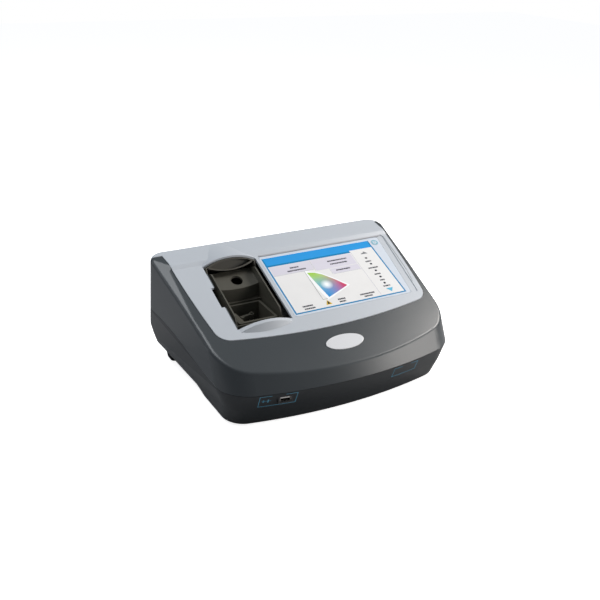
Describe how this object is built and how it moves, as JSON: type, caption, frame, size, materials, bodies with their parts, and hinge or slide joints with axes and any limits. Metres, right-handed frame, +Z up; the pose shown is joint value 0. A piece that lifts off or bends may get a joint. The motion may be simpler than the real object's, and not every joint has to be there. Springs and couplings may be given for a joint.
{
  "type": "benchtop colorimeter",
  "caption": "Wedge-shaped bench instrument with a tilted display panel, a round lid over its sample compartment, a vial well, a cell adapter and sockets at the rear.",
  "frame": {"origin": "middle of the footprint, on the bench", "axes": "+X to the instrument's right, seen by its user; +Y to its rear; +Z up"},
  "size_m": [0.3524, 0.2519, 0.1499],
  "materials": {
    "base_plastic": "fine matt",
    "housing_plastic": "fine moulded grain",
    "foot_rubber": "matt",
    "screw_steel": "zinc plated",
    "cover_plastic": "fine satin",
    "badge_enamel": "satin",
    "dark_plastic": "matt",
    "guide_plastic": "matt",
    "black_plastic": "matt",
    "spring_steel": "drawn",
    "overlay_film": "polished",
    "display_panel": "glossy",
    "zinc_sheet": "zinc plated",
    "board": "solder mask",
    "button_plastic": "satin",
    "bezel_plastic": "satin",
    "socket_steel": "tin plated",
    "speaker_black": "matt",
    "cast_aluminium": "die cast, blackened inside",
    "bush_brass": "turned",
    "mirror_glass": "front silvered",
    "clear_glass": "polished",
    "filter_glass": "polished",
    "motor_steel": "satin",
    "ceramic": "glazed"
  },
  "bodies": {
    "instrument": {"base_shell": "base_plastic", "upper_housing": "housing_plastic", "rubber_feet": "foot_rubber", "base_screws": "screw_steel", "top_cover": "cover_plastic", "cover_screws": "screw_steel", "badge_plate": "badge_enamel", "lid_pins": "screw_steel", "lid_guides": "guide_plastic", "compartment_tub": "dark_plastic", "vial_sleeve": "black_plastic", "display_overlay": "overlay_film", "display_module": "display_panel", "display_frame": "zinc_sheet", "display_board": "board", "switch_board": "board", "socket_bezel": "bezel_plastic", "front_usb_socket": "socket_steel", "front_usb_board": "board", "reader_board": "board", "chassis_plate": "zinc_sheet", "mainboard": "board", "backup_cell": "socket_steel", "loudspeaker": "speaker_black", "optics_block": "cast_aluminium", "optics_lid": "cast_aluminium", "turntable_bush": "bush_brass", "fold_mirrors": "mirror_glass", "beam_splitter": "clear_glass", "reference_detector": "board", "stepper_motor": "motor_steel", "motor_bracket": "zinc_sheet", "lamp_housing": "cast_aluminium", "lamp_holder": "ceramic", "halogen_lamp": "clear_glass", "condenser_lens": "clear_glass", "lens_bracket": "zinc_sheet", "filter_motor": "motor_steel", "sample_detector_board": "board", "io_plate": "zinc_sheet", "io_board": "board", "ethernet_socket": "socket_steel", "twin_usb_socket": "socket_steel", "device_usb_socket": "socket_steel", "dc_inlet": "black_plastic", "lamp_door": "base_plastic", "door_screws": "screw_steel", "fan_frame": "black_plastic"},
    "lid": {"lid_shell": "dark_plastic"},
    "adapter": {"cuvette_adapter": "dark_plastic", "lever_spring": "spring_steel"},
    "cell_clamp": {"cell_lever": "dark_plastic"},
    "button": {"power_button": "button_plastic"},
    "grating_drive": {"grating_turntable": "spring_steel", "grating": "mirror_glass", "sector_gear": "bush_brass"},
    "pinion": {"motor_pinion": "bush_brass"},
    "filters": {"filter_wheel": "black_plastic", "filter_glasses": "filter_glass"},
    "fan": {"fan_rotor": "black_plastic"}
  },
  "joints": [
    {"name": "lid_turn", "type": "hinge", "parent": "instrument", "child": "lid", "pos_m": [-0.081, 0.0375, 0.0733], "axis": [-1, 0, 0], "range_deg": [-85.5, 0]},
    {"name": "adapter_lift", "type": "slide", "parent": "instrument", "child": "adapter", "axis": [0, 0, 1], "range_m": [0, 0.06]},
    {"name": "clamp_swing", "type": "hinge", "parent": "adapter", "child": "cell_clamp", "pos_m": [-0.073, 0.019, 0.0846], "axis": [0, 0, 1], "range_deg": [-14, 0], "stiffness_Nm_per_rad": 0.01, "springref_deg": 8.59},
    {"name": "button_press", "type": "slide", "parent": "instrument", "child": "button", "axis": [0, 0.3527, -0.9357], "range_m": [0, 0.0008], "stiffness_N_per_m": 600, "springref_m": -0.0005},
    {"name": "grating_turn", "type": "hinge", "parent": "instrument", "child": "grating_drive", "pos_m": [0.009, 0.066, 0.05], "axis": [0, 0, 1], "range_deg": [-20, 20]},
    {"name": "pinion_spin", "type": "hinge", "parent": "instrument", "child": "pinion", "pos_m": [0.009, 0.036, 0.084], "axis": [0, 0, 1], "range_deg": [-85, 85]},
    {"name": "filter_turn", "type": "hinge", "parent": "instrument", "child": "filters", "pos_m": [0.058, 0.088, 0.069], "axis": [1, 0, 0], "continuous": true},
    {"name": "fan_spin", "type": "hinge", "parent": "instrument", "child": "fan", "pos_m": [0.132, 0.108, 0.111], "axis": [0, 1, 0], "continuous": true}
  ],
  "couplings": [
    {"joint": "pinion_spin", "follows": "grating_turn", "ratio": -4}
  ]
}
